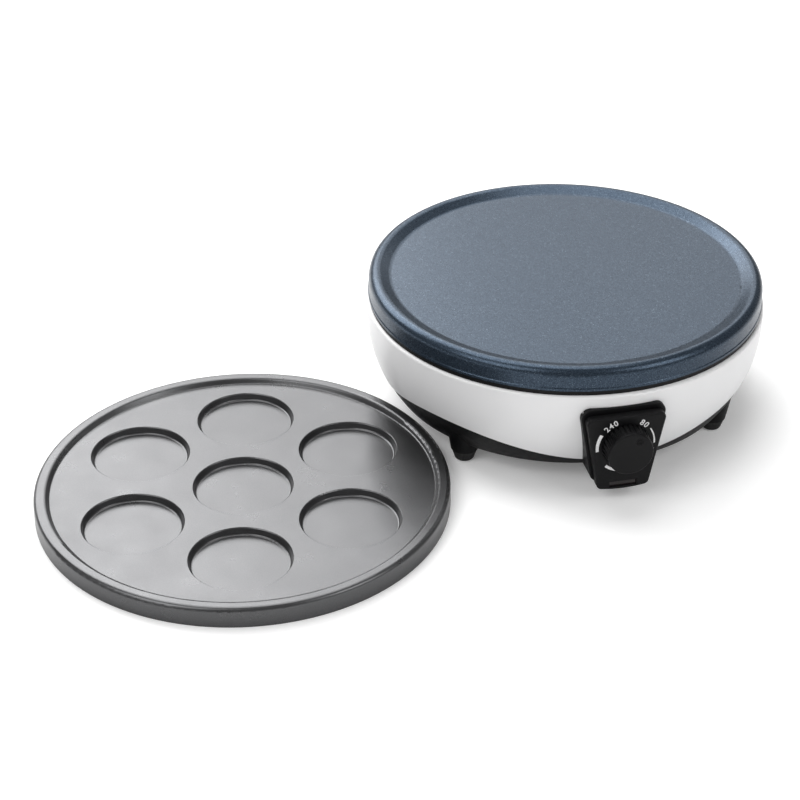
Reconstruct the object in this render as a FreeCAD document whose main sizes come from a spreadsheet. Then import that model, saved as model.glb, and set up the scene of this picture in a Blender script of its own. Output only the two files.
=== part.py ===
"""Electric crepe maker with a lift-off crepe plate and a second plate for mini pancakes.

Millimetres. +Z is up, the floor is z = 0 and the base's axis is the Z axis.
The control panel faces -Y. A bearing is an angle in degrees about Z, from the panel towards +X.
"""
import FreeCAD, Part

import math
import os
import re

import Sketcher

# Driving dimensions, one cell of the sheet each.
SIZES = {
    # Bowl shape shared by the shell and the cover: an arc that ends upright.
    "bowl_radius": 161.5,
    "bowl_arc": 108.0,
    "bowl_bottom_z": 17.0,
    "bowl_upright": 11.0,
    "shell_wall": 2.5,
    "shell_top_z": 91.0,
    "shell_top_round": 2.2,
    "shell_lip": 4.5,
    "ring_wall": 4.5,
    "ring_gap": 0.5,
    "wave_low_z": 23.5,
    "wave_rise": 21.5,
    "wave_peak_bearing": 55.0,
    "seam_gap": 0.3,
    # Bottom cover
    "cover_step": 0.8,
    "cover_wall": 2.2,
    "cover_floor": 2.5,
    "cover_round": 2.4,
    "cover_overlap": 6.0,
    "vent_count": 24.0,
    "vent_radius": 74.0,
    "vent_length": 26.0,
    "vent_width": 4.0,
    # Feet: rubber under a conical collar of the cover
    "foot_inset": 7.2,
    "foot_bearing": 50.6,
    "foot_top_radius": 10.6,
    "foot_bottom_radius": 8.1,
    "foot_height": 9.8,
    "foot_round": 2.6,
    "foot_socket_radius": 4.2,
    "foot_socket_depth": 4.5,
    "foot_nut_radius": 5.0,
    "collar_step": 0.4,
    "collar_flare": 3.4,
    "collar_height": 20.2,
    # Fasteners
    "screw_radius": 1.75,
    "screw_head_radius": 3.4,
    "screw_head_height": 2.2,
    "screw_clearance": 0.25,
    "screw_bite": 8.0,
    "post_base": 6.0,
    "panel_screw_x": 24.0,
    "panel_screw_z": 66.0,
    "screw_boss": 6.5,
    "screw_boss_wall": 2.0,
    # Either plate: they share the outline and the seat
    "plate_inset": 1.5,
    "plate_gap": 4.0,
    "plate_underside": 8.5,
    "plate_skirt": 3.5,
    # Crepe plate
    "plate_top": 18.0,
    "plate_floor_top": 13.5,
    "plate_taper": 0.8,
    "plate_bead": 0.5,
    "plate_bead_height": 2.6,
    "crest_round": 6.5,
    "crest_slope": 26.0,
    "crest_fillet": 6.0,
    # Mini pancake plate
    "mini_top": 16.0,
    "mini_floor_top": 12.0,
    "mini_taper": 0.2,
    "mini_edge_round": 3.3,
    "mini_land": 4.3,
    "mini_crest_round": 3.0,
    "mini_crest_slope": 60.0,
    "mini_fillet": 1.2,
    "well_circle": 94.3,
    "well_radius": 39.0,
    "well_draft": 1.8,
    "well_depth": 5.6,
    "well_round": 1.5,
    "well_lip": 0.8,
    "well_lip_round": 1.4,
    "well_wall": 3.0,
    "mini_gap": 0.8,
    "mini_bearing": -70.0,
    # Ceramic posts that stand in shallow sockets of a plate's underside
    "support_inset": 10.0,
    "support_radius": 5.0,
    "support_foot_radius": 7.5,
    "support_foot_height": 3.0,
    "socket_depth": 1.2,
    "socket_clearance": 0.5,
    # Pan and posts
    "pan_drop": 15.0,
    "pan_sheet": 1.0,
    "pan_flare": 15.0,
    "pan_clearance": 2.5,
    "pan_depth": 16.0,
    "pan_flange": 3.0,
    "post_inset": 26.0,
    "post_radius": 5.0,
    "post_bearing": 45.0,
    # Heating element
    "element_inset": 30.0,
    "element_radius": 3.25,
    "element_drop": 10.0,
    "element_gap_bearing": 16.0,
    "element_bend": 11.0,
    "element_leg": 24.0,
    "clip_width": 8.0,
    "clip_span": 14.0,
    "clip_sheet": 1.5,
    "terminal_radius": 5.0,
    "terminal_length": 12.0,
    "pin_radius": 1.6,
    "pin_length": 8.0,
    # Control panel: front plate, neck and the housing that carries them
    "panel_reach": 10.0,
    "panel_depth": 7.0,
    "panel_top_width": 63.8,
    "panel_bottom_width": 40.7,
    "panel_top_z": 77.2,
    "panel_bottom_z": 13.8,
    "panel_bottom_arc": 110.0,
    "panel_corner": 4.5,
    "panel_edge": 1.4,
    "neck_length": 1.2,
    "neck_inset": 1.6,
    "housing_side": 2.9,
    "housing_top": 4.0,
    "housing_rise": 3.0,
    "housing_corner": 8.0,
    "housing_wall": 2.5,
    "lens_width": 22.0,
    "lens_height": 5.0,
    "lens_z": 17.0,
    "lens_recess": 1.4,
    "lamp_rise": 3.1,
    "lamp_radius": 2.4,
    "lamp_length": 12.0,
    "lamp_clearance": 0.4,
    # Knob and thermostat
    "knob_z": 52.0,
    "knob_radius": 18.8,
    "knob_face_radius": 17.8,
    "knob_height": 13.5,
    "knob_wall": 2.2,
    "knob_round": 1.0,
    "knob_gap": 0.6,
    "knob_grooves": 30.0,
    "knob_groove_radius": 1.1,
    "dimple_radius": 3.55,
    "dimple_offset": 12.0,
    "dimple_bearing": 33.0,
    "dimple_depth": 1.5,
    "spindle_radius": 3.0,
    "spindle_fit": 0.05,
    "spindle_reach": 9.0,
    "sleeve_wall": 0.6,
    "hub_radius": 6.0,
    "switch_inset": 14.5,
    "switch_length": 20.0,
    "switch_radius": 15.0,
    "switch_bush_radius": 4.5,
    "switch_bush_length": 11.0,
    "bush_clearance": 0.3,
    "strip_sheet": 1.5,
    "strip_width": 22.0,
    "strip_foot": 16.0,
    "strip_reach": 8.0,
    # Sensor, fuse, block and inlet
    "bulb_radius": 3.0,
    "bulb_length": 58.0,
    "bulb_offset": 46.0,
    "fuse_radius": 3.0,
    "fuse_length": 22.0,
    "fuse_place": 30.0,
    "fuse_y": -40.0,
    "block_width": 34.0,
    "block_depth": 18.0,
    "block_height": 16.0,
    "block_inset": 12.0,
    "block_well_radius": 3.2,
    "clamp_clearance": 0.4,
    "gland_z": 46.0,
    "gland_radius": 6.5,
    "gland_flange": 2.5,
    "gland_bore": 3.75,
    "gland_length": 14.0,
    "lead_radius": 1.3,
    "tab_width": 6.3,
    "tab_length": 16.0,
    "tab_place": -20.0,
}

# Lengths that follow from the driving ones. Each may use those above it.
DERIVED = {
    "bowl_upright_z": "(shell_top_z - bowl_upright)",
    "bowl_bottom_radius": "(bowl_radius - bowl_arc + sqrt(bowl_arc^2 - (bowl_upright_z - bowl_bottom_z)^2))",
    "inner_floor_z": "(bowl_bottom_z + cover_floor)",
    "lip_radius": "(bowl_radius - shell_wall - shell_lip)",
    "foot_circle": "(bowl_bottom_radius - foot_inset)",
    "collar_radius": "(foot_top_radius + collar_step)",
    "plate_radius": "(bowl_radius - plate_inset)",
    "plate_z": "(shell_top_z + plate_gap)",
    "mini_distance": "(bowl_bottom_radius + plate_radius + mini_gap)",
    "pan_z": "(shell_top_z - pan_drop)",
    "pan_top_z": "(pan_z + pan_sheet)",
    "pan_rim_z": "(pan_z + pan_depth)",
    "pan_rim_radius": "(lip_radius - pan_clearance - pan_flange)",
    "pan_floor_radius": "(pan_rim_radius - pan_flare)",
    "post_circle": "(pan_floor_radius - post_inset)",
    "post_foot_z": "(inner_floor_z + post_base)",
    "support_circle": "(pan_floor_radius - support_inset)",
    "support_height": "(plate_z + plate_underside + socket_depth - pan_top_z)",
    "element_z": "(plate_z + plate_underside - element_drop)",
    "element_circle": "(support_circle - element_inset)",
    "element_leg_x": "(element_circle * sin(element_gap_bearing) - element_bend * cos(element_gap_bearing))",
    "element_leg_y": "(element_circle * cos(element_gap_bearing) + element_bend * sin(element_gap_bearing))",
    "element_end_z": "(element_z - element_bend - element_leg)",
    "panel_front": "(bowl_radius + panel_reach)",
    "panel_back": "(panel_front - panel_depth)",
    "housing_front": "(panel_back - neck_length)",
    "housing_back": "(bowl_bottom_radius - housing_wall)",
    "lens_depth": "(panel_depth - lens_recess)",
    "lamp_z": "(lens_z + lamp_rise)",
    "shell_inside": "(bowl_radius - bowl_arc + sqrt((bowl_arc - shell_wall)^2"
                    " - (bowl_upright_z - panel_screw_z + screw_head_radius)^2))",
    "panel_screw_seat": "sqrt(shell_inside^2 - (panel_screw_x + screw_head_radius)^2)",
    "panel_screw_reach": "(panel_back - panel_screw_seat - screw_head_height / 2)",
    "switch_front": "(bowl_radius - switch_inset)",
    "switch_back": "(switch_front - switch_length)",
    "switch_middle": "(switch_front - switch_length / 2)",
    "bulb_z": "(pan_top_z + bulb_radius * 1.6)",
    "block_place": "(post_circle - block_inset)",
    "gland_y": "(bowl_radius - gland_length)",
    "boss_underside": "(mini_floor_top - well_depth - well_wall)",
}

FRONT = (FreeCAD.Vector(1, 0, 0), 90)  # turns local +Z to -Y
BACK = (FreeCAD.Vector(1, 0, 0), -90)  # turns local +Z to +Y
ALONG_X = (FreeCAD.Vector(0, 1, 0), 90)  # turns local +Z to +X
UPRIGHT = (FreeCAD.Vector(0, 0, 1), 0)

doc = FreeCAD.newDocument("crepe_maker")
sheet = doc.addObject("Spreadsheet::Sheet", "Sizes")
for row, (size, value) in enumerate(SIZES.items(), 1):
    sheet.set(f"A{row}", size)
    sheet.set(f"B{row}", str(value))
    sheet.setAlias(f"B{row}", size)
doc.recompute()

nodes = {}


def written_out(expression):
    """The expression with every derived length put in terms of the driving ones."""
    return re.sub(r"[a-z_]+", lambda word: DERIVED.get(word.group(), word.group()), str(expression))


for length in DERIVED:
    DERIVED[length] = written_out(DERIVED[length])


def bound(expression):
    """The expression with every size name pointing at the sheet."""
    written = written_out(expression)
    return re.sub(r"[a-z_]+", lambda word: "Sizes." * (word.group() in SIZES) + word.group(), written)


def number(expression):
    return float(sheet.evalExpression(bound(expression)))


def bind(thing, **expressions):
    for field, expression in expressions.items():
        thing.setExpression(field, bound(expression))
    return thing


def place(thing, x=0, y=0, z=0, turn=UPRIGHT, bearing=None):
    """Put a thing at x, y, z, turned about one axis or to a bearing."""
    axis, angle = turn if bearing is None else (FreeCAD.Vector(0, 0, 1), number(bearing))
    thing.Placement = FreeCAD.Placement(FreeCAD.Vector(), FreeCAD.Rotation(axis, angle))
    for field, expression in (("x", x), ("y", y), ("z", z)):
        thing.setExpression(f".Placement.Base.{field}", bound(expression))
    return thing


def on_circle(thing, circle, bearing, z=0):
    """Put a thing on a circle about the Z axis at a bearing."""
    return place(thing, f"({circle}) * sin({bearing})", f"-({circle}) * cos({bearing})", z, bearing=bearing)


def keep(name, thing):
    """Name a finished sub-part."""
    thing.Label = name
    nodes[name] = thing
    return thing


def cylinder(radius, height):
    return bind(doc.addObject("Part::Cylinder", "cylinder"), Radius=radius, Height=height)


def cone(bottom, top, height):
    return bind(doc.addObject("Part::Cone", "cone"), Radius1=bottom, Radius2=top, Height=height)


def box(width, depth, height):
    """A box about its own Z axis, standing on z = 0: returned as a placed cut-ready body."""
    body, sketch = body_with_sketch("XY_Plane", [
        (f"-({width}) / 2", f"-({depth}) / 2"), (f"({width}) / 2", f"-({depth}) / 2"),
        (f"({width}) / 2", f"({depth}) / 2"), (f"-({width}) / 2", f"({depth}) / 2")])
    pad = body.newObject("PartDesign::Pad", "Pad")
    pad.Profile = sketch
    bind(pad, Length=height)
    return body


def fuse(*things):
    joined = doc.addObject("Part::MultiFuse", "fuse")
    joined.Shapes = list(things)
    return joined


def cut(base, *tools):
    result = doc.addObject("Part::Cut", "cut")
    result.Base = base
    result.Tool = tools[0] if len(tools) == 1 else fuse(*tools)
    return result


def common(first, second):
    shared = doc.addObject("Part::MultiCommon", "common")
    shared.Shapes = [first, second]
    return shared


def group(*things):
    together = doc.addObject("Part::Compound", "group")
    together.Links = list(things)
    return together


def arc_or_line(start, end, radius=None, side=1):
    """A straight edge, or an arc of a given radius that bulges to the left (side 1) or right (-1)."""
    if radius is None:
        return Part.LineSegment(start, end)
    chord = end - start
    reach = number(radius)
    sag = reach - math.sqrt(reach ** 2 - chord.Length ** 2 / 4)
    across = FreeCAD.Vector(-chord.y, chord.x, 0).normalize() * side * sag
    return Part.Arc(start, (start + end) * 0.5 + across, end)


def body_with_sketch(role, points):
    """A body with one closed sketch. A point is (x, y) or (x, y, radius, side) of the arc after it."""
    body = doc.addObject("PartDesign::Body", "Body")
    plane = next(origin for origin in body.Origin.OriginFeatures if origin.Role == role)
    sketch = body.newObject("Sketcher::SketchObject", "Profile")
    sketch.AttachmentSupport = [(plane, "")]
    sketch.MapMode = "FlatFace"
    corners = [FreeCAD.Vector(number(point[0]), number(point[1]), 0) for point in points]
    after = corners[1:] + corners[:1]
    edges = [arc_or_line(start, end, *point[2:]) for start, end, point in zip(corners, after, points)]
    sketch.addGeometry(edges, False)
    starts = [1 if sketch.getPoint(index, 1).distanceToPoint(corner) < 1e-6 else 2
              for index, corner in enumerate(corners)]
    for index, point in enumerate(points):
        following = (index + 1) % len(points)
        sketch.addConstraint(Sketcher.Constraint(
            "Coincident", index, 3 - starts[index], following, starts[following]))
        for kind, expression, value, axis in (("DistanceX", point[0], corners[index].x, -2),
                                              ("DistanceY", point[1], corners[index].y, -1)):
            if expression == 0:
                sketch.addConstraint(Sketcher.Constraint("PointOnObject", index, starts[index], axis))
                continue
            made = sketch.addConstraint(Sketcher.Constraint(kind, index, starts[index], value))
            sketch.setExpression(f"Constraints[{made}]", bound(expression))
        if len(point) > 2:
            made = sketch.addConstraint(Sketcher.Constraint("Radius", index, number(point[2])))
            sketch.setExpression(f"Constraints[{made}]", bound(point[2]))
    return body, sketch


def revolved(points):
    """A body turned about its own Z axis from a profile of (radius, height) points."""
    body, sketch = body_with_sketch("XZ_Plane", points)
    turned = body.newObject("PartDesign::Revolution", "Revolution")
    turned.Profile = sketch
    turned.ReferenceAxis = (sketch, ["V_Axis"])
    turned.Angle = 360
    return body


def prism(points, depth):
    """A body with an outline in X and Z that reaches from its own y = 0 towards -Y."""
    body, sketch = body_with_sketch("XZ_Plane", points)
    pad = body.newObject("PartDesign::Pad", "Pad")
    pad.Profile = sketch
    bind(pad, Length=depth)
    return body


def rounded(body, radius, chosen, kind="Fillet"):
    """Fillet or chamfer the edges of a body's last feature for which chosen(edge) is true."""
    doc.recompute()
    last = body.Tip
    names = [f"Edge{index}" for index, edge in enumerate(last.Shape.Edges, 1) if chosen(edge)]
    feature = body.newObject(f"PartDesign::{kind}", kind)
    feature.Base = (last, names)
    bind(feature, **({"Radius": radius} if kind == "Fillet" else {"Size": radius}))
    return body


def swept(path_edges, radius):
    """A round tube along a path of joined edges."""
    wire = Part.Wire(path_edges)
    first = wire.OrderedEdges[0]
    start = first.firstVertex().Point
    along = first.tangentAt(first.FirstParameter)
    ring = Part.Wire(Part.Circle(start, along, radius).toShape())
    return wire.makePipeShell([ring], True, True)


def bent(points, bend):
    """Edges through points with every corner turned into a tangent arc of one radius."""
    edges = []
    start = points[0]
    for corner, following in zip(points[1:-1], points[2:]):
        back = (start - corner).normalize()
        ahead = (following - corner).normalize()
        half = back.getAngle(ahead) / 2
        reach = bend / math.tan(half)
        middle = corner + (back + ahead).normalize() * (bend / math.sin(half) - bend)
        edges.append(Part.LineSegment(start, corner + back * reach).toShape())
        edges.append(Part.Arc(corner + back * reach, middle, corner + ahead * reach).toShape())
        start = corner + ahead * reach
    edges.append(Part.LineSegment(start, points[-1]).toShape())
    return edges


def feature(shape):
    made = doc.addObject("Part::Feature", "Shape")
    made.Shape = shape
    return made


def bowl(z, inset=0):
    """Radius of the bowl's surface at a height, set in from the outer face."""
    return (f"(bowl_radius - bowl_arc + sqrt((bowl_arc - ({inset}))^2"
            f" - (bowl_upright_z - ({z}))^2))")


def wave_height(bearing):
    """Height of the shell's lower edge: low at the panel and the back, high over each foot."""
    side = abs(bearing)
    peak = number("wave_peak_bearing")
    low = number("wave_low_z")
    rise = number("wave_rise")
    if side > 90:
        side = 180 - side
    if side <= peak:
        return low + rise * (1 - math.cos(math.radians(180 * side / peak))) / 2
    dip = rise * 0.55
    return low + rise - dip * (1 - math.cos(math.radians(180 * (side - peak) / (90 - peak)))) / 2


def below_wave(shift):
    """Everything in the wall's neighbourhood that lies under the wavy edge moved up by shift."""
    samples = 72
    curves = []
    for radius in (number("bowl_radius") * 0.6, number("bowl_radius") * 1.2):
        points = []
        for index in range(samples):
            bearing = index * 360 / samples - 180
            angle = math.radians(bearing)
            points.append(FreeCAD.Vector(radius * math.sin(angle), -radius * math.cos(angle),
                                         wave_height(bearing) + shift))
        curve = Part.BSplineCurve()
        curve.interpolate(Points=points, PeriodicFlag=True)
        curves.append(curve.toShape())
    depth = number("shell_top_z") + shift
    return feature(Part.makeRuledSurface(*curves).extrude(FreeCAD.Vector(0, 0, -depth)))


def screw(length):
    """A screw whose head stands on z = 0 and whose shank hangs down from it."""
    head = cylinder("screw_head_radius", "screw_head_height")
    shank = place(cylinder("screw_radius", f"{length}"), z=f"-({length})")
    slot = place(box("screw_head_radius * 1.1", "screw_head_radius * 0.28", "screw_head_height"),
                 z="screw_head_height * 0.55")
    return cut(fuse(head, shank), slot)


FOOT_BEARINGS = ["foot_bearing", "-foot_bearing", "180 - foot_bearing", "foot_bearing - 180"]
SUPPORT_BEARINGS = ["30", "150", "270"]
POST_BEARINGS = ["post_bearing", "post_bearing + 90", "post_bearing + 180", "post_bearing + 270"]


def bowl_wall(inset, wall, bottom):
    """Ring of the bowl between two insets, from a height up to where the bowl stands upright."""
    inner = f"{inset} + {wall}"
    return revolved([
        (bowl(bottom, inset), bottom, f"bowl_arc - ({inset})", -1),
        (bowl("bowl_upright_z", inset), "bowl_upright_z"),
        (bowl("bowl_upright_z", inner), "bowl_upright_z", f"bowl_arc - ({inner})", 1),
        (bowl(bottom, inner), bottom),
    ])


def bowl_solid(inset):
    """The whole space inside the bowl's surface, above the bowl's bottom."""
    return revolved([
        (0, "bowl_bottom_z"),
        (bowl("bowl_bottom_z", inset), "bowl_bottom_z", f"bowl_arc - ({inset})", -1),
        (bowl("bowl_upright_z", inset), "bowl_upright_z"),
        (bowl("bowl_upright_z", inset), "shell_top_z"),
        (0, "shell_top_z"),
    ])


def panel_outline(side="0", top="0", rise="0"):
    """Trapezoid of the control panel, with its sides moved out, its top up and its bottom up."""
    return [
        (f"-panel_bottom_width / 2 - ({side})", f"panel_bottom_z + ({rise})", "panel_bottom_arc", -1),
        (f"panel_bottom_width / 2 + ({side})", f"panel_bottom_z + ({rise})"),
        (f"panel_top_width / 2 + ({side})", f"panel_top_z + ({top})"),
        (f"-panel_top_width / 2 - ({side})", f"panel_top_z + ({top})"),
    ]


def along_y(edge):
    ends = [vertex.Point for vertex in edge.Vertexes]
    return len(ends) == 2 and abs(ends[0].y - ends[1].y) > 1 and abs(ends[0].x - ends[1].x) < 1e-6


def at_front(y):
    return lambda edge: all(abs(vertex.Point.y - y) < 1e-6 for vertex in edge.Vertexes)


def make_shell():
    wall = revolved([
        (bowl("wave_low_z - 2"), "wave_low_z - 2", "bowl_arc", -1),
        ("bowl_radius", "bowl_upright_z"),
        ("bowl_radius", "shell_top_z - shell_top_round", "shell_top_round", -1),
        ("bowl_radius - shell_top_round", "shell_top_z"),
        ("lip_radius", "shell_top_z"),
        ("lip_radius", "shell_top_z - shell_wall"),
        ("bowl_radius - shell_wall", "shell_top_z - shell_wall"),
        ("bowl_radius - shell_wall", "bowl_upright_z", "bowl_arc - shell_wall", 1),
        (bowl("wave_low_z - 2", "shell_wall"), "wave_low_z - 2"),
    ])
    reach = "shell_wall * 16"
    window = place(box("switch_radius * 1.2", reach, "switch_radius * 1.2"),
                   y="-bowl_radius + shell_wall", z="knob_z - switch_radius * 0.6")
    gland_hole = place(cylinder("gland_radius + seam_gap / 3", reach), y=f"bowl_radius - {reach} / 2",
                       z="gland_z", turn=BACK)
    screw_holes = [place(cylinder("screw_radius + screw_clearance", reach), x=f"{side} * panel_screw_x",
                         y=f"-bowl_radius + {reach} / 2", z="panel_screw_z", turn=FRONT) for side in (-1, 1)]
    keep("housing_shell", cut(wall, below_wave(0), window, gland_hole, *screw_holes))
    keep("heat_ring", revolved([
        ("lip_radius", "shell_top_z"),
        ("lip_radius + ring_wall", "shell_top_z"),
        ("lip_radius + ring_wall", "plate_z - ring_gap"),
        ("lip_radius", "plate_z - ring_gap"),
    ]))


def make_cover():
    gap = number("seam_gap")
    outer = common(bowl_wall("cover_step", "shell_wall + cover_wall - cover_step", "bowl_bottom_z"),
                   below_wave(-gap))
    inner = common(bowl_wall("shell_wall + seam_gap", "cover_wall - seam_gap", "bowl_bottom_z"),
                   below_wave(number("cover_overlap")))
    floor = revolved([
        (0, "bowl_bottom_z"),
        (bowl("bowl_bottom_z", "cover_step"), "bowl_bottom_z"),
        (bowl("inner_floor_z", "cover_step"), "inner_floor_z"),
        (0, "inner_floor_z"),
    ])
    edge = revolved([
        (bowl("bowl_bottom_z", "cover_step + cover_round"), "bowl_bottom_z"),
        (bowl("bowl_bottom_z", "cover_step - 1"), "bowl_bottom_z"),
        (bowl("bowl_bottom_z + cover_round", "cover_step - 1"), "bowl_bottom_z + cover_round"),
        (bowl("bowl_bottom_z + cover_round", "cover_step"), "bowl_bottom_z + cover_round",
         "cover_round * 1.6", 1),
    ])
    nuts = [on_circle(cylinder("foot_nut_radius", "screw_bite"), "foot_circle", bearing, "inner_floor_z")
            for bearing in FOOT_BEARINGS]
    pilots = [on_circle(cylinder("screw_radius", "cover_floor + screw_bite * 0.8"), "foot_circle", bearing,
                        "bowl_bottom_z") for bearing in FOOT_BEARINGS]
    posts = [on_circle(cylinder("post_radius + screw_boss_wall", "post_base"), "post_circle", bearing,
                       "inner_floor_z") for bearing in POST_BEARINGS]
    post_holes = [on_circle(cylinder("screw_radius + screw_clearance", "pan_z"), "post_circle", bearing)
                  for bearing in POST_BEARINGS]
    head_holes = [on_circle(cylinder("screw_head_radius + screw_clearance", "inner_floor_z"),
                            "post_circle", bearing) for bearing in POST_BEARINGS]
    vents = [on_circle(box("vent_width", "vent_length", "pan_z"), "vent_radius",
                       f"{index} * 360 / vent_count") for index in range(round(number("vent_count")))]
    keep("bottom_cover", cut(fuse(outer, inner, floor, *nuts, *posts), edge, *pilots, *post_holes,
                             *head_holes, *vents))


def make_feet():
    profile = [
        ("screw_radius + screw_clearance", "foot_height"),
        ("screw_radius + screw_clearance", "foot_socket_depth"),
        ("foot_socket_radius", "foot_socket_depth"),
        ("foot_socket_radius", 0),
        ("foot_bottom_radius - foot_round", 0, "foot_round", -1),
        ("foot_bottom_radius", "foot_round"),
        ("foot_top_radius", "foot_height"),
    ]
    keep("rubber_feet", group(*[on_circle(revolved(profile), "foot_circle", bearing)
                                for bearing in FOOT_BEARINGS]))
    collars = [on_circle(cone("collar_radius", "collar_radius + collar_flare", "collar_height"),
                         "foot_circle", bearing, "foot_height") for bearing in FOOT_BEARINGS]
    bores = [on_circle(cylinder("screw_radius + screw_clearance", "bowl_bottom_z"), "foot_circle", bearing,
                       "foot_height") for bearing in FOOT_BEARINGS]
    keep("foot_collars", cut(group(*collars), bowl_solid("cover_step"), *bores))
    foot_screw = "bowl_bottom_z + screw_bite - foot_socket_depth"
    keep("foot_screws", group(*[turned_over("foot_socket_depth", foot_screw, "foot_circle", bearing)
                                for bearing in FOOT_BEARINGS]))
    keep("cover_screws", group(*[turned_over("inner_floor_z", "post_base + screw_bite", "post_circle",
                                             bearing) for bearing in POST_BEARINGS]))


def turned_over(seat, length, circle, bearing):
    """A screw driven upwards, its head against a seat that faces down."""
    made = screw(length)
    made.Placement = FreeCAD.Placement(FreeCAD.Vector(), FreeCAD.Rotation(FreeCAD.Vector(1, 0, 0), 180))
    for field, expression in (("x", f"({circle}) * sin({bearing})"), ("y", f"-({circle}) * cos({bearing})"),
                              ("z", seat)):
        made.setExpression(f".Placement.Base.{field}", bound(expression))
    return made


def make_pan():
    pan = revolved([
        (0, "pan_z"),
        ("pan_floor_radius", "pan_z"),
        ("pan_rim_radius", "pan_rim_z - pan_sheet"),
        ("pan_rim_radius + pan_flange", "pan_rim_z - pan_sheet"),
        ("pan_rim_radius + pan_flange", "pan_rim_z"),
        ("pan_rim_radius - pan_sheet", "pan_rim_z"),
        ("pan_floor_radius - pan_sheet", "pan_top_z"),
        (0, "pan_top_z"),
    ])
    drill = "pan_sheet * 10"
    leg_holes = [place(cylinder("terminal_radius + seam_gap / 3", drill), x=f"{side} * element_leg_x",
                       y="-element_leg_y", z=f"pan_z - {drill} / 2") for side in (-1, 1)]
    screw_holes = [on_circle(cylinder("screw_radius + screw_clearance", drill), "post_circle", bearing,
                             f"pan_z - {drill} / 2") for bearing in POST_BEARINGS]
    keep("reflector_pan", cut(pan, *leg_holes, *screw_holes))
    posts = []
    for bearing in POST_BEARINGS:
        post = on_circle(cylinder("post_radius", "pan_z - post_foot_z"), "post_circle", bearing,
                         "post_foot_z")
        bore = on_circle(cylinder("screw_radius", "pan_z"), "post_circle", bearing)
        posts.append(cut(post, bore))
    keep("pan_standoffs", group(*posts))
    keep("pan_screws", group(*[on_circle(screw("screw_bite"), "post_circle", bearing, "pan_top_z")
                               for bearing in POST_BEARINGS]))
    keep("plate_supports", group(*[on_circle(fuse(
        cylinder("support_foot_radius", "support_foot_height"),
        cylinder("support_radius", "support_height")), "support_circle", bearing, "pan_top_z")
        for bearing in SUPPORT_BEARINGS]))


def element_path(bend_down):
    """Ring of the element with its two ends turned down beside each other under the panel side."""
    circle = number("element_circle")
    height = number("element_z")
    gap = math.radians(number("element_gap_bearing"))
    bend = number("element_bend")
    edges = []

    def on_ring(bearing):
        return FreeCAD.Vector(circle * math.sin(bearing), -circle * math.cos(bearing), height)

    def end(side):
        start = on_ring(side * gap)
        along = FreeCAD.Vector(-side * math.cos(gap), -math.sin(gap), 0)
        drop = FreeCAD.Vector(0, 0, bend * (1 - math.cos(math.pi / 4)))
        middle = start + along * bend * math.sin(math.pi / 4) - drop
        corner = start + along * bend - FreeCAD.Vector(0, 0, bend)
        foot = corner - FreeCAD.Vector(0, 0, bend_down)
        return start, middle, corner, foot

    start, middle, corner, foot = end(1)
    edges.append(Part.LineSegment(foot, corner).toShape())
    edges.append(Part.Arc(corner, middle, start).toShape())
    edges.append(Part.Arc(start, on_ring(math.pi / 2), on_ring(math.pi)).toShape())
    start, middle, corner, foot = end(-1)
    edges.append(Part.Arc(on_ring(math.pi), on_ring(-math.pi / 2), start).toShape())
    edges.append(Part.Arc(start, middle, corner).toShape())
    edges.append(Part.LineSegment(corner, foot).toShape())
    return edges


def make_element():
    keep("heating_element", feature(swept(element_path(number("element_leg")), number("element_radius"))))
    ends = []
    for side in (-1, 1):
        bush = cut(cylinder("terminal_radius", "terminal_length"),
                   cylinder("element_radius", "terminal_length"))
        place(bush, x=f"{side} * element_leg_x", y="-element_leg_y", z="element_end_z")
        pin = place(cylinder("pin_radius", "pin_length"), x=f"{side} * element_leg_x", y="-element_leg_y",
                    z="element_end_z - pin_length")
        ends += [bush, pin]
    keep("element_terminals", group(*ends))
    blocks = [on_circle(box("clip_width", "clip_span", "element_z + element_radius + clip_sheet - pan_top_z"),
                        "element_circle", bearing, "pan_top_z") for bearing in ("75", "180", "285")]
    tunnel = bind(doc.addObject("Part::Torus", "torus"), Radius1="element_circle", Radius2="element_radius")
    place(tunnel, z="element_z")
    below = revolved([
        ("element_circle - clip_span / 2 + clip_sheet", "pan_top_z + clip_sheet"),
        ("element_circle + clip_span / 2 - clip_sheet", "pan_top_z + clip_sheet"),
        ("element_circle + clip_span / 2 - clip_sheet", "element_z - element_radius - clip_sheet"),
        ("element_circle - clip_span / 2 + clip_sheet", "element_z - element_radius - clip_sheet"),
    ])
    keep("element_clips", cut(group(*blocks), tunnel, below))


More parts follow.
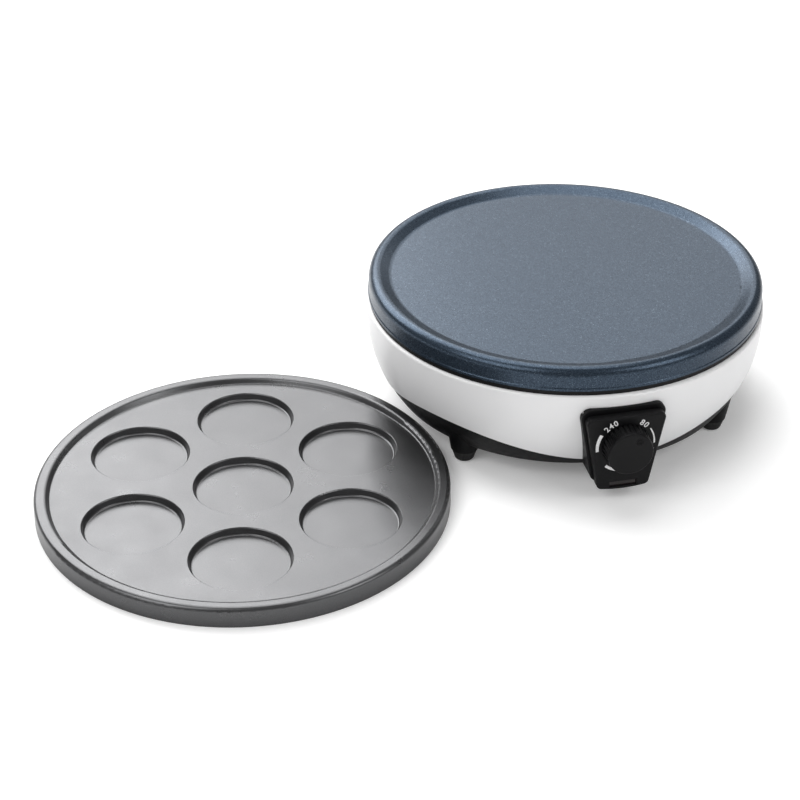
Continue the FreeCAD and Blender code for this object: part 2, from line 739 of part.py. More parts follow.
def make_panel():
    block = rounded(place(prism(panel_outline("housing_side", "housing_top", "housing_rise"),
                                "housing_front - housing_back"), y="-housing_back"),
                    "housing_corner", along_y)
    rounded(block, "panel_edge / 2", at_front(-number("housing_front - housing_back")))
    hollow = place(prism(panel_outline("housing_side - housing_wall", "housing_top - housing_wall",
                                       "housing_rise + housing_wall"),
                         "housing_front - housing_back - housing_wall"), y="-housing_back")
    neck = rounded(place(prism(panel_outline("-neck_inset", "-neck_inset", "housing_rise + neck_inset"),
                               "neck_length"), y="-housing_front"), "panel_corner", along_y)
    bosses = [place(cylinder("screw_radius + screw_boss_wall", "screw_boss"), x=f"{side} * panel_screw_x",
                    y="-panel_back + screw_boss", z="panel_screw_z", turn=FRONT) for side in (-1, 1)]
    pilots = [place(cylinder("screw_radius", "screw_boss - 1"), x=f"{side} * panel_screw_x",
                    y="-panel_back + screw_boss", z="panel_screw_z", turn=FRONT) for side in (-1, 1)]
    spindle_hole = place(cylinder("switch_bush_radius + bush_clearance", "panel_front"), y="-switch_front",
                         z="knob_z", turn=FRONT)
    lamp_hole = place(cylinder("lamp_radius + lamp_clearance", "panel_front"), y="-bowl_bottom_radius",
                      z="lamp_z", turn=FRONT)
    shell_space = bowl_solid("-seam_gap / 3")
    under_shell = cylinder("bowl_bottom_radius + seam_gap / 3", "bowl_bottom_z")
    keep("panel_housing", cut(fuse(cut(block, hollow), neck, *bosses), *pilots, spindle_hole, lamp_hole,
                              shell_space, under_shell))
    face = rounded(place(prism(panel_outline(), "panel_depth"), y="-panel_back"), "panel_corner", along_y)
    rounded(face, "panel_edge", at_front(-number("panel_depth")))
    face_hole = place(cylinder("switch_bush_radius + bush_clearance", "panel_front"), y="-switch_front",
                      z="knob_z", turn=FRONT)
    lens_hole = place(box("lens_width", "panel_depth * 4", "lens_height"), y="-panel_front",
                      z="lens_z - lens_height / 2")
    keep("panel_face", cut(face, face_hole, lens_hole))
    keep("pilot_lens", place(box("lens_width", "lens_depth", "lens_height"),
                             y="-panel_back - lens_depth / 2", z="lens_z - lens_height / 2"))
    keep("pilot_lamp", place(cylinder("lamp_radius", "lamp_length"), y="-panel_back + lamp_length",
                             z="lamp_z", turn=FRONT))
    keep("panel_screws", group(*[place(screw("panel_screw_reach"), x=f"{side} * panel_screw_x",
                                       y="-panel_screw_seat", z="panel_screw_z", turn=BACK)
                                 for side in (-1, 1)]))


def make_knob():
    grip = revolved([
        (0, "knob_height - knob_wall"),
        ("knob_face_radius - knob_wall", "knob_height - knob_wall"),
        ("knob_radius - knob_wall", "knob_gap"),
        ("knob_radius", "knob_gap"),
        ("knob_face_radius", "knob_height - knob_round", "knob_round", -1),
        ("knob_face_radius - knob_round", "knob_height"),
        (0, "knob_height"),
    ])
    hub = place(cylinder("hub_radius", "knob_height - knob_gap - knob_wall / 2"), z="knob_gap")
    bore = place(cylinder("spindle_radius + sleeve_wall", "spindle_reach - 1"), z="knob_gap")
    grooves = [on_circle(cylinder("knob_groove_radius", "knob_height - knob_wall"),
                         "knob_radius", f"{index} * 360 / knob_grooves")
               for index in range(round(number("knob_grooves")))]
    dimple = place(bind(doc.addObject("Part::Sphere", "sphere"), Radius="dimple_radius"),
                   x="dimple_offset * sin(dimple_bearing)", y="dimple_offset * cos(dimple_bearing)",
                   z="knob_height + dimple_radius - dimple_depth")
    knob = cut(fuse(grip, hub), bore, dimple, *grooves)
    keep("control_knob", place(knob, y="-panel_front", z="knob_z", turn=FRONT))
    sleeve = cut(cylinder("spindle_radius + sleeve_wall", "spindle_reach - 1.5"),
                 cylinder("spindle_radius", "spindle_reach"))
    slit = box("spindle_radius", "spindle_radius * 4", "spindle_reach")
    keep("knob_clip", place(cut(sleeve, slit), y="-panel_front - knob_gap", z="knob_z", turn=FRONT))
    spindle = cylinder("spindle_radius", "panel_front - switch_middle + spindle_reach - 1")
    keep("thermostat_spindle", place(spindle, y="-switch_middle", z="knob_z", turn=FRONT))


def make_switch():
    body = place(cylinder("switch_radius", "switch_length"), y="-switch_back", z="knob_z", turn=FRONT)
    bush = place(cylinder("switch_bush_radius", "switch_bush_length"), y="-switch_front", z="knob_z",
                 turn=FRONT)
    bore = place(cylinder("spindle_radius + spindle_fit", "panel_front"), y="-switch_middle", z="knob_z",
                 turn=FRONT)
    keep("thermostat_body", cut(fuse(body, bush), bore))
    upright = place(box("strip_width", "strip_sheet", "knob_z + strip_reach - inner_floor_z"),
                    y="-switch_back + strip_sheet / 2", z="inner_floor_z")
    foot = place(box("strip_width", "strip_foot", "strip_sheet"), y="-switch_back + strip_foot / 2",
                 z="inner_floor_z")
    keep("thermostat_bracket", fuse(upright, foot))


def make_inside():
    bulb = place(cylinder("bulb_radius", "bulb_length"), x="-bulb_length / 2", y="bulb_offset", z="bulb_z",
                 turn=ALONG_X)
    keep("sensor_bulb", bulb)
    saddles = [place(box("clip_width", "bulb_radius * 4", "bulb_z + bulb_radius * 0.6 - pan_top_z"),
                     x=f"{side} * bulb_length * 0.28", y="bulb_offset", z="pan_top_z") for side in (-1, 1)]
    space = place(cylinder("bulb_radius", "bulb_length * 2"), x="-bulb_length", y="bulb_offset", z="bulb_z",
                  turn=ALONG_X)
    keep("sensor_clips", cut(group(*saddles), space))
    keep("thermal_fuse", place(cylinder("fuse_radius", "fuse_length"), x="fuse_place - fuse_length / 2",
                               y="fuse_y", z="pan_z - fuse_radius", turn=ALONG_X))
    block = place(box("block_width", "block_depth", "block_height"), y="block_place", z="inner_floor_z")
    well_z = "inner_floor_z + block_height - screw_bite"
    steps = [f"{side} * block_width / 3" for side in (-1, 0, 1)]
    wells = [place(cylinder("block_well_radius", "block_height"), x=step, y="block_place", z=well_z)
             for step in steps]
    keep("terminal_block", cut(block, *wells))
    keep("terminal_screws", group(*[place(cylinder("block_well_radius - clamp_clearance", "screw_bite * 0.7"),
                                          x=step, y="block_place", z=well_z) for step in steps]))
    keep("earth_tab", fuse(
        place(box("tab_width", "tab_length", "pan_sheet"), x="tab_place", z="pan_z - pan_sheet"),
        place(box("tab_width", "pan_sheet", "tab_length * 0.6"), x="tab_place",
              y="tab_length / 2 - pan_sheet / 2", z="pan_z - tab_length * 0.6")))
    tube = place(cylinder("gland_radius", "gland_length"), y="gland_y", z="gland_z", turn=BACK)
    flange = place(cylinder("gland_radius + gland_flange", "gland_length"), y="gland_y", z="gland_z",
                   turn=BACK)
    outside = cut(flange, bowl_solid("0"))
    bore = place(cylinder("gland_bore", "gland_length * 2"), y="gland_y - gland_length / 2", z="gland_z",
                 turn=BACK)
    keep("cord_gland", cut(fuse(tube, outside), bore))


def make_wiring():
    """Leads between the block, the switch, the fuse, the element's pins and the earth tab."""
    block_top = number("inner_floor_z + block_height - screw_bite * 0.3")
    block_y = number("block_place")
    step = number("block_width / 3")
    leg_x = number("element_leg_x")
    leg_y = -number("element_leg_y")
    pin_z = number("element_end_z - pin_length")
    switch_y = -number("switch_back")
    beside_strip = -number("strip_width / 2 + lead_radius * 1.5")
    knob_z = number("knob_z")
    fuse_left = number("fuse_place - fuse_length / 2")
    fuse_right = number("fuse_place + fuse_length / 2")
    fuse_z = number("pan_z - fuse_radius")
    fuse_y = number("fuse_y")
    tab = number("tab_place")
    tab_z = number("pan_z - pan_sheet")
    vector = FreeCAD.Vector
    routes = [
        [vector(-step, block_y, block_top), vector(-step, block_y, block_top + 14),
         vector(-60, block_y - 20, tab_z - 15), vector(-60, -60, tab_z - 15),
         vector(-34, switch_y + 31, knob_z + 4),
         vector(beside_strip, switch_y + 15, knob_z + 3), vector(beside_strip, switch_y, knob_z + 3)],
        [vector(step, block_y, block_top), vector(step, block_y, block_top + 14),
         vector(62, block_y - 25, tab_z - 13), vector(62, fuse_y, tab_z - 9),
         vector(fuse_right + 12, fuse_y, fuse_z), vector(fuse_right, fuse_y, fuse_z)],
        [vector(fuse_left, fuse_y, fuse_z), vector(fuse_left - 12, fuse_y, fuse_z),
         vector(leg_x, fuse_y - 20, pin_z), vector(leg_x, leg_y, pin_z - 12), vector(leg_x, leg_y, pin_z)],
        [vector(-leg_x, leg_y, pin_z), vector(-leg_x, leg_y, pin_z - 10),
         vector(beside_strip, switch_y + 15, knob_z - 3), vector(beside_strip, switch_y, knob_z - 3)],
        [vector(0, block_y, block_top), vector(0, block_y, block_top + 16), vector(tab, 40, tab_z - 23),
         vector(tab, 0, tab_z - 20), vector(tab, 0, tab_z)],
    ]
    bend = number("lead_radius") * 3
    keep("wiring", feature(Part.makeCompound([swept(bent(route, bend), number("lead_radius"))
                                              for route in routes])))


def plate_sockets():
    return [on_circle(cylinder("support_radius + socket_clearance", "socket_depth"), "support_circle",
                      bearing, "plate_underside") for bearing in SUPPORT_BEARINGS]


def underside():
    """Start of a plate's profile: the flat underside, the rib inside the skirt and the skirt's foot."""
    return [
        (0, "plate_underside"),
        ("plate_radius - plate_skirt * 3.3", "plate_underside"),
        ("plate_radius - plate_skirt * 1.5", "plate_underside * 0.7"),
        ("plate_radius - plate_skirt", 0),
        ("plate_radius", 0),
    ]


def inner_side(middle, top, turn, slope, floor, fillet):
    """End of a plate's profile: off the crest's round, straight down at a slope and into the floor."""
    crest_radius = f"(({middle}) - {turn} * sin({slope}))"
    crest_z = f"({top} - {turn} + {turn} * cos({slope}))"
    foot = f"({crest_radius} - ({crest_z} - {floor}) / tan({slope}))"
    reach = f"({fillet} * tan({slope} / 2))"
    return [
        (crest_radius, crest_z),
        (f"{foot} + {reach} * cos({slope})", f"{floor} + {reach} * sin({slope})", fillet, 1),
        (f"{foot} - {reach}", floor),
        (0, floor),
    ]


def make_crepe_plate():
    plate = revolved([
        *underside(),
        ("plate_radius", "plate_bead_height * 0.7"),
        ("plate_radius - plate_bead", "plate_bead_height"),
        ("plate_radius - plate_taper", "plate_top - crest_round", "crest_round", -1),
        *inner_side("plate_radius - plate_taper - crest_round", "plate_top", "crest_round", "crest_slope",
                    "plate_floor_top", "crest_fillet"),
    ])
    keep("crepe_plate", place(cut(plate, *plate_sockets()), z="plate_z"))


def make_mini_plate():
    land = "plate_radius - mini_taper - mini_edge_round"
    plate = revolved([
        *underside(),
        ("plate_radius - mini_taper", "mini_top - mini_edge_round", "mini_edge_round", -1),
        (land, "mini_top"),
        (f"{land} - mini_land", "mini_top", "mini_crest_round", -1),
        *inner_side(f"{land} - mini_land", "mini_top", "mini_crest_round", "mini_crest_slope",
                    "mini_floor_top", "mini_fillet"),
    ])
    well = [
        (0, "mini_floor_top - well_depth"),
        ("well_radius - well_draft - well_round", "mini_floor_top - well_depth", "well_round", -1),
        ("well_radius - well_draft", "mini_floor_top - well_depth + well_round"),
        ("well_radius - well_lip", "mini_floor_top - well_lip", "well_lip_round", 1),
        ("well_radius", "mini_floor_top"),
        ("well_radius", "mini_top"),
        (0, "mini_top"),
    ]
    bosses = []
    wells = []
    for index in range(7):
        circle = "well_circle" if index else "0"
        bearing = f"{index} * 60 + 60"
        bosses.append(on_circle(cylinder("well_radius + well_wall", "plate_underside - boss_underside + 1"),
                                circle, bearing, "boss_underside"))
        wells.append(on_circle(revolved(well), circle, bearing))
    made = cut(fuse(plate, *bosses), *wells, *plate_sockets())
    keep("mini_pancake_plate", on_circle(made, "mini_distance", "mini_bearing"))


def export():
    doc.recompute()
    broken = [thing.Label for thing in doc.Objects if "Invalid" in thing.State or "Error" in thing.State]
    broken += [name for name, thing in nodes.items() if thing.Shape.isNull() or not thing.Shape.isValid()]
    if broken:
        raise RuntimeError("failed objects: " + ", ".join(broken))
    os.makedirs("parts", exist_ok=True)
    for name, thing in nodes.items():
        thing.Shape.exportStep(f"parts/{name}.step")
        print(f"{name}: {len(thing.Shape.Solids)} solids, {thing.Shape.Volume / 1000:.2f} cm3")


make_shell()
make_cover()
make_feet()
make_pan()
make_element()
make_panel()
make_knob()
make_switch()
make_inside()
make_wiring()
make_crepe_plate()
make_mini_plate()
export()
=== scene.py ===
"""Looks of the electric crepe maker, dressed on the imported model. Metres, +Z up, the panel faces -Y."""

import math

import bpy
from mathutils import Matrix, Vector


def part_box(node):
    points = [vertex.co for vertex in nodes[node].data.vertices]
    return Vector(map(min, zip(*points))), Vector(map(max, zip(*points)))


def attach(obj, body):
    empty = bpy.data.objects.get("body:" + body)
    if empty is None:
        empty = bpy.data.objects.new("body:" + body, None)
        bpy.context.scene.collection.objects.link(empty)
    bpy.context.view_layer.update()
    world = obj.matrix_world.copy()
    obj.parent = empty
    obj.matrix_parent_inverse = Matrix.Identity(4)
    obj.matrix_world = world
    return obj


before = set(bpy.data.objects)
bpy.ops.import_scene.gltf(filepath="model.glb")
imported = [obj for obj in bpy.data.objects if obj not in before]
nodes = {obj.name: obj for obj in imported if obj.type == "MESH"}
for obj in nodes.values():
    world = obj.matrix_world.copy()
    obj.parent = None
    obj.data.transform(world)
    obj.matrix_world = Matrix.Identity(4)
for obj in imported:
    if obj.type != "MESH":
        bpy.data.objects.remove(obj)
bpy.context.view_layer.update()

# The photograph's view of the base, and the point between base and second plate that it is aimed at
CAMERA_AZIMUTH = -17.8
CAMERA_ELEVATION = 28.5
CAMERA_DISTANCE = 1.667
CAMERA_LENS = 92.0
CAMERA_SENSOR = 36.0
CAMERA_CLIP = (0.05, 50.0)
CAMERA_TARGET = (-0.150, -0.058, 0.043)

# Print on the panel
PRINT_THICKNESS = 0.00012
PRINT_RADIUS = 0.0226
NUMBER_HEIGHT = 0.0048

# Type size of a digit over its height, how far it is thickened, and the angle from digit to digit
TYPE_SIZE = 1.38
TYPE_THICKENING = 0.0001
DIGIT_PITCH = 10.5

# The floor lies a hair under the feet and is lifted towards white where the camera sees it
FLOOR_SIZE = 12
FLOOR_DROP = 0.0002
FLOOR_GLOW = 0.14

# The lamps aim between base and second plate; the world adds an even fill
LAMP_TARGET = (-0.12, 0, 0.05)
WORLD_FILL = 0.24


def toward(azimuth, elevation):
    """Unit vector from the object towards a viewer or a lamp at an azimuth and elevation in degrees."""
    turn = math.radians(azimuth)
    rise = math.radians(elevation)
    return Vector((math.sin(turn) * math.cos(rise), -math.cos(turn) * math.cos(rise), math.sin(rise)))


def add_camera():
    data = bpy.data.cameras.new("camera")
    data.lens = CAMERA_LENS
    data.sensor_width = CAMERA_SENSOR
    data.clip_start, data.clip_end = CAMERA_CLIP
    camera = bpy.data.objects.new("camera", data)
    plate_top = Vector((0, 0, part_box("crepe_plate")[1].z))
    camera.location = plate_top + toward(CAMERA_AZIMUTH, CAMERA_ELEVATION) * CAMERA_DISTANCE
    ahead = Vector(CAMERA_TARGET) - camera.location
    camera.rotation_mode = "QUATERNION"
    camera.rotation_quaternion = ahead.to_track_quat("-Z", "Y")
    bpy.context.scene.collection.objects.link(camera)
    bpy.context.scene.camera = camera


class Finish:
    """A node material with its Principled shader and short ways to add texture to it."""

    def __init__(self, name, color, roughness, metallic=0.0, **sockets):
        self.material = bpy.data.materials.new(name)
        self.material.use_nodes = True
        self.tree = self.material.node_tree
        self.shader = self.tree.nodes["Principled BSDF"]
        self.shader.inputs["Base Color"].default_value = (*color, 1)
        self.shader.inputs["Roughness"].default_value = roughness
        self.shader.inputs["Metallic"].default_value = metallic
        for socket, value in sockets.items():
            self.shader.inputs[socket.replace("_", " ")].default_value = value
        self.place = self.add("ShaderNodeTexCoord").outputs["Object"]

    def add(self, kind, **values):
        """A node, with sockets set by name or fed from another node's output."""
        node = self.tree.nodes.new(kind)
        for socket, value in values.items():
            found = node.inputs[socket.replace("_", " ")]
            if isinstance(value, bpy.types.NodeSocket):
                self.tree.links.new(value, found)
            else:
                found.default_value = value
        return node

    def noise(self, scale, detail=3.0, rough=0.5, place=None):
        node = self.add("ShaderNodeTexNoise", Vector=place or self.place, Scale=scale, Detail=detail,
                        Roughness=rough)
        return node.outputs["Fac"]

    def cells(self, scale):
        node = self.add("ShaderNodeTexVoronoi", Vector=self.place, Scale=scale)
        return node.outputs["Distance"]

    def ramp(self, value, *stops):
        """Colour ramp from (position, colour) stops."""
        node = self.add("ShaderNodeValToRGB", Fac=value)
        elements = node.color_ramp.elements
        while len(elements) < len(stops):
            elements.new(0.5)
        for element, (position, color) in zip(elements, stops):
            element.position = position
            element.color = (*color, 1)
        return node.outputs["Color"]

    def level(self, value, low, high, to_low=0.0, to_high=1.0):
        """A value mapped from low..high to to_low..to_high."""
        node = self.add("ShaderNodeMapRange", Value=value)
        node.inputs["From Min"].default_value = low
        node.inputs["From Max"].default_value = high
        node.inputs["To Min"].default_value = to_low
        node.inputs["To Max"].default_value = to_high
        return node.outputs["Result"]

    def mix(self, share, ground, color):
        """A plain colour laid over a ground where share is 1; the node's colour sockets are 6, 7 and 2."""
        node = self.tree.nodes.new("ShaderNodeMix")
        node.data_type = "RGBA"
        self.tree.links.new(share, node.inputs[0])
        self.tree.links.new(ground, node.inputs[6])
        node.inputs[7].default_value = (*color, 1)
        return node.outputs[2]

    def times(self, first, second):
        """Product of an output and another output or a number."""
        node = self.tree.nodes.new("ShaderNodeMath")
        node.operation = "MULTIPLY"
        self.tree.links.new(first, node.inputs[0])
        if isinstance(second, bpy.types.NodeSocket):
            self.tree.links.new(second, node.inputs[1])
        else:
            node.inputs[1].default_value = second
        return node.outputs["Value"]

    def feed(self, socket, value):
        self.tree.links.new(value, self.shader.inputs[socket])
        return self

    def bump(self, height, strength, distance):
        node = self.add("ShaderNodeBump", Height=height, Strength=strength, Distance=distance)
        return self.feed("Normal", node.outputs["Normal"])


def white_plastic():
    made = Finish("white_plastic", (0.79, 0.79, 0.795), 0.3, IOR=1.49)
    made.feed("Base Color", made.ramp(made.noise(9, 2), (0.3, (0.78, 0.78, 0.785)),
                                      (0.7, (0.80, 0.80, 0.805))))
    made.feed("Roughness", made.level(made.noise(14, 2), 0.3, 0.7, 0.29, 0.33))
    return made.bump(made.noise(2600, 2), 0.015, 0.0001).material


def black_plastic(name="black_plastic", roughness=0.42, grain=1800):
    made = Finish(name, (0.005, 0.005, 0.0055), roughness, IOR=1.46, Specular_IOR_Level=0.16)
    made.feed("Base Color", made.ramp(made.noise(30, 3), (0.3, (0.004, 0.004, 0.0045)),
                                      (0.75, (0.0065, 0.0065, 0.007))))
    made.feed("Roughness", made.level(made.noise(220, 4), 0.3, 0.7, roughness - 0.05, roughness + 0.06))
    return made.bump(made.noise(grain, 3, 0.6), 0.16, 0.0002).material


def rubber():
    made = Finish("rubber", (0.012, 0.012, 0.012), 0.75)
    made.feed("Base Color", made.ramp(made.noise(60, 4), (0.3, (0.009, 0.009, 0.009)),
                                      (0.8, (0.02, 0.02, 0.02))))
    made.feed("Roughness", made.level(made.noise(300, 3), 0.3, 0.7, 0.68, 0.86))
    return made.bump(made.noise(2200, 2), 0.3, 0.0002).material


def navy_coating():
    """Navy non-stick coating: a fine metallic grain with a few pale flecks in a dark glossy ground."""
    made = Finish("navy_coating", (0.05, 0.075, 0.11), 0.3, metallic=0.7, IOR=1.5)
    ground = made.ramp(made.noise(1500, 4, 0.7), (0.34, (0.010, 0.018, 0.031)),
                       (0.5, (0.028, 0.044, 0.067)), (0.68, (0.070, 0.100, 0.135)))
    flecks = made.level(made.cells(1100), 0.14, 0.26, 1.0, 0.0)
    sparse = made.level(made.noise(420, 2), 0.54, 0.62)
    made.feed("Base Color", made.mix(made.times(flecks, sparse), ground, (0.22, 0.28, 0.34)))
    made.feed("Roughness", made.level(made.noise(900, 3), 0.3, 0.7, 0.25, 0.35))
    return made.bump(made.noise(1300, 3, 0.6), 0.10, 0.0002).material


def grey_coating():
    """Dark grey non-stick coating with a satin metallic sheen and a very fine grain."""
    made = Finish("grey_coating", (0.17, 0.17, 0.175), 0.3, metallic=0.8, IOR=1.5)
    made.feed("Base Color", made.ramp(made.noise(1900, 3, 0.6), (0.34, (0.082, 0.0825, 0.085)),
                                      (0.5, (0.094, 0.0945, 0.097)), (0.68, (0.108, 0.1085, 0.112))))
    made.feed("Roughness", made.level(made.noise(40, 4), 0.3, 0.7, 0.27, 0.33))
    return made.bump(made.noise(2400, 3, 0.6), 0.02, 0.0001).material


def metal(name, color, roughness, grain=(40, 900, 900), bumps=0.08):
    """Metal with a drawn grain along X, its colour a little uneven."""
    made = Finish(name, color, roughness, metallic=1.0)
    stretched = made.add("ShaderNodeMapping", Vector=made.place)
    stretched.inputs["Scale"].default_value = grain
    lines = made.noise(1.0, 4, 0.6, stretched.outputs["Vector"])
    dark = tuple(channel * 0.82 for channel in color)
    made.feed("Base Color", made.ramp(lines, (0.3, dark), (0.7, color)))
    made.feed("Roughness", made.level(lines, 0.3, 0.7, roughness - 0.06, roughness + 0.1))
    return made.bump(lines, bumps, 0.0002).material


def heat_tinted():
    """Element sheath: dull steel with straw and blue heat tints."""
    made = Finish("heat_tinted", (0.2, 0.18, 0.16), 0.5, metallic=0.9)
    made.feed("Base Color", made.ramp(made.noise(45, 4), (0.3, (0.10, 0.10, 0.12)),
                                      (0.5, (0.20, 0.18, 0.15)), (0.7, (0.30, 0.24, 0.17))))
    made.feed("Roughness", made.level(made.noise(400, 3), 0.3, 0.7, 0.42, 0.6))
    return made.bump(made.noise(1600, 3), 0.2, 0.0002).material


def moulded(name, color, roughness, uneven=0.08):
    """Plain moulded or fired material with a faint mottle."""
    made = Finish(name, color, roughness)
    dark = tuple(channel * (1 - uneven) for channel in color)
    made.feed("Base Color", made.ramp(made.noise(90, 4), (0.3, dark), (0.7, color)))
    made.feed("Roughness", made.level(made.noise(300, 3), 0.3, 0.7, roughness - 0.05, roughness + 0.08))
    return made.bump(made.noise(1300, 3), 0.15, 0.0002).material


def sleeve():
    """Woven glass sleeve of the leads."""
    made = Finish("sleeve", (0.72, 0.70, 0.62), 0.8)
    weave = made.add("ShaderNodeTexWave", Vector=made.place, Scale=420.0, Distortion=1.5)
    weave.bands_direction = "DIAGONAL"
    made.feed("Base Color", made.ramp(weave.outputs["Fac"], (0.2, (0.55, 0.53, 0.46)),
                                      (0.8, (0.78, 0.76, 0.69))))
    return made.bump(weave.outputs["Fac"], 0.5, 0.0003).material


def dark_lens():
    """Smoked window, almost black, with fine ribs behind its face."""
    made = Finish("dark_lens", (0.010, 0.006, 0.006), 0.14, IOR=1.49)
    ribs = made.add("ShaderNodeTexWave", Vector=made.place, Scale=260.0)
    return made.bump(ribs.outputs["Fac"], 0.2, 0.0004).material


def lamp_glass():
    made = Finish("lamp_glass", (0.95, 0.55, 0.35), 0.08, IOR=1.5, Transmission_Weight=0.85)
    made.feed("Roughness", made.level(made.noise(200, 2), 0.3, 0.7, 0.05, 0.15))
    return made.material


def white_print():
    made = Finish("white_print", (0.82, 0.82, 0.82), 0.55)
    made.feed("Base Color", made.ramp(made.noise(1500, 3), (0.3, (0.74, 0.74, 0.74)),
                                      (0.7, (0.85, 0.85, 0.85))))
    return made.bump(made.noise(3000, 2), 0.2, 0.0001).material


def dress(finishes):
    """Give every shown node its finish."""
    for finish, names in finishes:
        for name in names:
            node = nodes[name]
            node.data.materials.clear()
            node.data.materials.append(finish)


def print_piece(name, corners, finish):
    """A flat printed patch on the panel face from an outline in (x, z), a hair proud of it."""
    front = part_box("panel_face")[0].y
    count = len(corners)
    verts = [(x, front, z) for x, z in corners] + [(x, front - PRINT_THICKNESS, z) for x, z in corners]
    faces = [tuple(range(count)), tuple(range(2 * count - 1, count - 1, -1))]
    faces += [(i, i + count, (i + 1) % count + count, (i + 1) % count) for i in range(count)]
    mesh = bpy.data.meshes.new(name)
    mesh.from_pydata(verts, [], faces)
    mesh.validate()
    mesh.materials.append(finish)
    piece = bpy.data.objects.new(name, mesh)
    bpy.context.scene.collection.objects.link(piece)
    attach(piece, "base")


def dial_point(radius, clock):
    """Point on the panel round the knob's axis; clock is in degrees clockwise from the top."""
    low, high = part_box("thermostat_spindle")
    centre = (low + high) / 2
    angle = math.radians(clock)
    return centre.x + radius * math.sin(angle), centre.z + radius * math.cos(angle)


def scale_arc(name, start, stop, wide_start, wide_stop, finish, steps=14):
    """One segment of the dial's band, which widens clockwise."""
    outer, inner = [], []
    for index in range(steps + 1):
        share = index / steps
        clock = start + (stop - start) * share
        half = (wide_start + (wide_stop - wide_start) * share) / 2
        outer.append(dial_point(PRINT_RADIUS + half, clock))
        inner.append(dial_point(PRINT_RADIUS - half, clock))
    print_piece(name, outer + inner[::-1], finish)


def number_print(name, text, clock, finish):
    """A plain number that stands along the dial's circle, one digit after the other."""
    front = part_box("panel_face")[0].y
    digits = []
    for index, digit in enumerate(text):
        curve = bpy.data.curves.new(f"{name}_{index}", "FONT")
        curve.body = digit
        curve.size = NUMBER_HEIGHT * TYPE_SIZE
        curve.align_x = "CENTER"
        curve.offset = TYPE_THICKENING
        curve.extrude = PRINT_THICKNESS / 2
        made = bpy.data.objects.new(f"{name}_{index}", curve)
        bpy.context.scene.collection.objects.link(made)
        here = clock + (index - (len(text) - 1) / 2) * DIGIT_PITCH
        x, z = dial_point(PRINT_RADIUS - NUMBER_HEIGHT / 2, here)
        made.rotation_euler = (math.pi / 2, math.radians(here), 0)
        made.location = (x, front - PRINT_THICKNESS / 2, z)
        digits.append(made)
    bpy.context.view_layer.update()
    for index, made in enumerate(digits):
        mesh = bpy.data.meshes.new_from_object(made)
        mesh.transform(made.matrix_world)
        mesh.materials.clear()
        mesh.materials.append(finish)
        piece = bpy.data.objects.new(f"{name}_digit_{index}", mesh)
        bpy.context.scene.collection.objects.link(piece)
        bpy.data.objects.remove(made)
        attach(piece, "base")


def add_floor():
    bpy.ops.mesh.primitive_plane_add(size=FLOOR_SIZE, location=(0, 0, -FLOOR_DROP))
    floor = bpy.context.object
    floor.name = "floor"
    made = Finish("floor", (0.9, 0.9, 0.9), 0.9)
    made.feed("Base Color", made.ramp(made.noise(2, 2), (0.3, (0.90, 0.90, 0.90)),
                                      (0.7, (0.92, 0.92, 0.92))))
    rays = made.add("ShaderNodeLightPath")
    glow = made.add("ShaderNodeEmission", Strength=made.times(rays.outputs["Is Camera Ray"], FLOOR_GLOW))
    both = made.add("ShaderNodeAddShader")
    made.tree.links.new(made.shader.outputs[0], both.inputs[0])
    made.tree.links.new(glow.outputs[0], both.inputs[1])
    made.tree.links.new(both.outputs[0], made.tree.nodes["Material Output"].inputs["Surface"])
    floor.data.materials.append(made.material)


def add_lamp(name, azimuth, elevation, distance, size, power):
    data = bpy.data.lights.new(name, "AREA")
    data.shape = "RECTANGLE"
    data.size, data.size_y = size
    data.energy = power
    lamp = bpy.data.objects.new(name, data)
    back = toward(azimuth, elevation)
    lamp.location = Vector(LAMP_TARGET) + back * distance
    lamp.rotation_mode = "QUATERNION"
    lamp.rotation_quaternion = (-back).to_track_quat("-Z", "Y")
    bpy.context.scene.collection.objects.link(lamp)


def add_world():
    world = bpy.data.worlds.new("world")
    world.use_nodes = True
    bpy.context.scene.world = world
    tree = world.node_tree
    light = tree.nodes["Background"]
    light.inputs["Color"].default_value = (1, 1, 1, 1)
    light.inputs["Strength"].default_value = WORLD_FILL
    seen = tree.nodes.new("ShaderNodeBackground")
    seen.inputs["Color"].default_value = (1, 1, 1, 1)
    rays = tree.nodes.new("ShaderNodeLightPath")
    chosen = tree.nodes.new("ShaderNodeMixShader")
    tree.links.new(rays.outputs["Is Camera Ray"], chosen.inputs[0])
    tree.links.new(light.outputs[0], chosen.inputs[1])
    tree.links.new(seen.outputs[0], chosen.inputs[2])
    tree.links.new(chosen.outputs[0], tree.nodes["World Output"].inputs["Surface"])


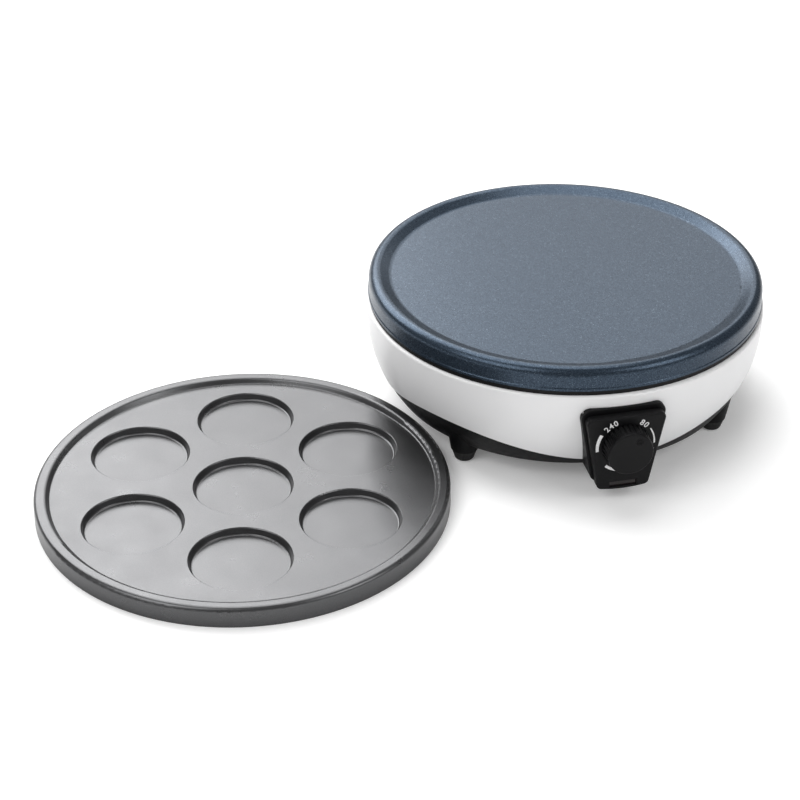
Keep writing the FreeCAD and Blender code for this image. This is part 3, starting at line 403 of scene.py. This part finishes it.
add_camera()
bright = metal("bright_metal", (0.78, 0.78, 0.79), 0.28)
zinc = metal("zinc", (0.62, 0.62, 0.62), 0.35)
brass = metal("brass_metal", (0.72, 0.52, 0.26), 0.32)
dress([
    (white_plastic(), ["housing_shell"]),
    # heat_ring in black plastic fills the gap between plate and shell: a dark part that partly stands in
    # for painted shade in that gap
    (black_plastic(), ["bottom_cover", "panel_housing", "panel_face", "heat_ring", "foot_collars"]),
    (black_plastic("knob_plastic", 0.38, 1500), ["control_knob"]),
    (rubber(), ["rubber_feet", "cord_gland"]),
    (navy_coating(), ["crepe_plate"]),
    (grey_coating(), ["mini_pancake_plate"]),
    (bright, ["reflector_pan", "pan_standoffs", "element_clips", "sensor_clips", "thermostat_bracket",
              "thermal_fuse"]),
    (zinc, ["foot_screws", "cover_screws", "pan_screws", "panel_screws", "thermostat_spindle",
            "knob_clip"]),
    (brass, ["terminal_screws", "earth_tab", "sensor_bulb"]),
    (heat_tinted(), ["heating_element"]),
    (moulded("steatite", (0.80, 0.77, 0.70), 0.6), ["plate_supports", "element_terminals"]),
    (moulded("thermoset", (0.66, 0.62, 0.54), 0.5), ["thermostat_body"]),
    (moulded("nylon", (0.80, 0.80, 0.78), 0.4), ["terminal_block"]),
    (sleeve(), ["wiring"]),
    (dark_lens(), ["pilot_lens"]),
    (lamp_glass(), ["pilot_lamp"]),
])
ink = white_print()
for arc in [
    ("scale_first", 56, 92, 0.0009, 0.0013),
    ("scale_second", 104, 150, 0.0014, 0.0019),
    ("scale_third", 180, 222, 0.0019, 0.0023),
    ("scale_fourth", 262, 300, 0.0023, 0.0028),
]:
    scale_arc(*arc, ink)
number_print("number_low", "80", 38, ink)
number_print("number_high", "240", 326, ink)

add_floor()
for lamp in [
    ("back_left", 207, 37, 2.2, (1.7, 1.2), 38),
    ("back_middle", 176, 36, 2.2, (0.5, 1.2), 7),
    ("back_right", 156, 36, 2.2, (1.0, 1.2), 8),
    ("overhead", 185, 72, 2.2, (1.6, 1.4), 25),
    ("front_left", -55, 42, 2.4, (1.6, 1.4), 22),
    ("front_right", 45, 36, 2.4, (1.2, 1.2), 16),
]:
    add_lamp(*lamp)
add_world()
bpy.context.scene.view_settings.view_transform = "Standard"
